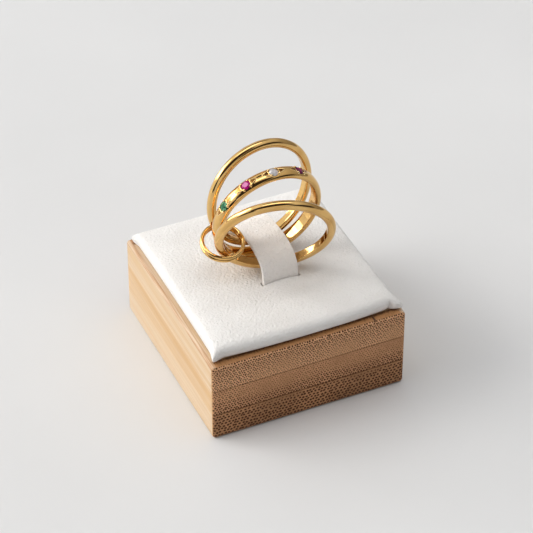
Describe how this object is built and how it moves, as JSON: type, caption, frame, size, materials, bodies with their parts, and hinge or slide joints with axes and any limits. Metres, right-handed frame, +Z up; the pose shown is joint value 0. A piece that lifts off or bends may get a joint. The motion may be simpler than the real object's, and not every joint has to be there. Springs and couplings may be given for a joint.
{
  "type": "stone-set band ring on a display stand",
  "caption": "Linked domed gold bands fanned open over a leather strap, the middle one set with round cut stones, on a bamboo display block with a white leather pad.",
  "frame": {"origin": "middle of the block's underside", "axes": "+Z up, +X along the block's end-grain front face, -Y towards the front; the finger goes through the bands roughly along Y"},
  "size_m": [0.038, 0.0404, 0.0439],
  "materials": {
    "bamboo": "satin, long grain along Y and end grain on the front face",
    "leather": "matt, fine grain",
    "gold": "polished yellow gold",
    "stone_emerald": "polished green stone",
    "stone_ruby_left": "polished pink-red stone",
    "stone_diamond": "polished clear stone",
    "stone_ruby_right": "polished dark red stone"
  },
  "bodies": {
    "root": {"block": "bamboo", "pad": "leather", "strap": "leather", "band_rear": "gold", "band_middle": "gold", "band_front": "gold", "link_upper": "gold", "link_lower": "gold", "stone_emerald": "stone_emerald", "stone_ruby_left": "stone_ruby_left", "stone_diamond": "stone_diamond", "stone_ruby_right": "stone_ruby_right"}
  },
  "joints": []
}
